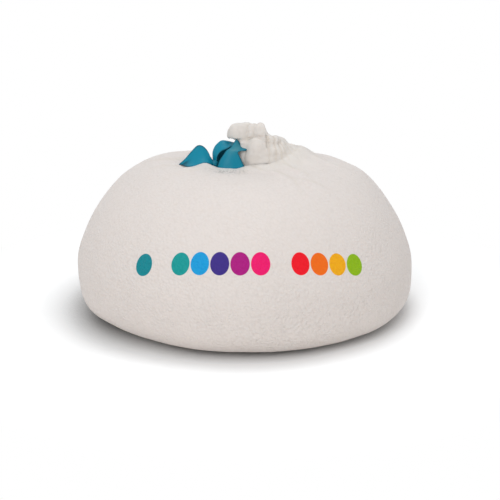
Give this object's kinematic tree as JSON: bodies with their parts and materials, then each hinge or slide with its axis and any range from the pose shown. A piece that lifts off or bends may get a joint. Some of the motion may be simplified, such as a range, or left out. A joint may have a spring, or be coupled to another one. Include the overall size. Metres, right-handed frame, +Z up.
{
  "type": "bag of polystyrene beads",
  "caption": "Soft white film bag filled with loose beads, slumped into a wide dome, with its mouth gathered shut by a knotted teal drawtape.",
  "frame": {"origin": "on the floor, on the flat base, below the middle of the bag's widest level", "axes": "+Z up, -Y towards the front of the bag, +X to the right seen from the front"},
  "size_m": [0.5898, 0.5898, 0.323],
  "materials": {
    "film": "satin",
    "tape": "satin"
  },
  "bodies": {
    "root": {"film_bag": "film", "drawtape": "tape"}
  },
  "joints": []
}
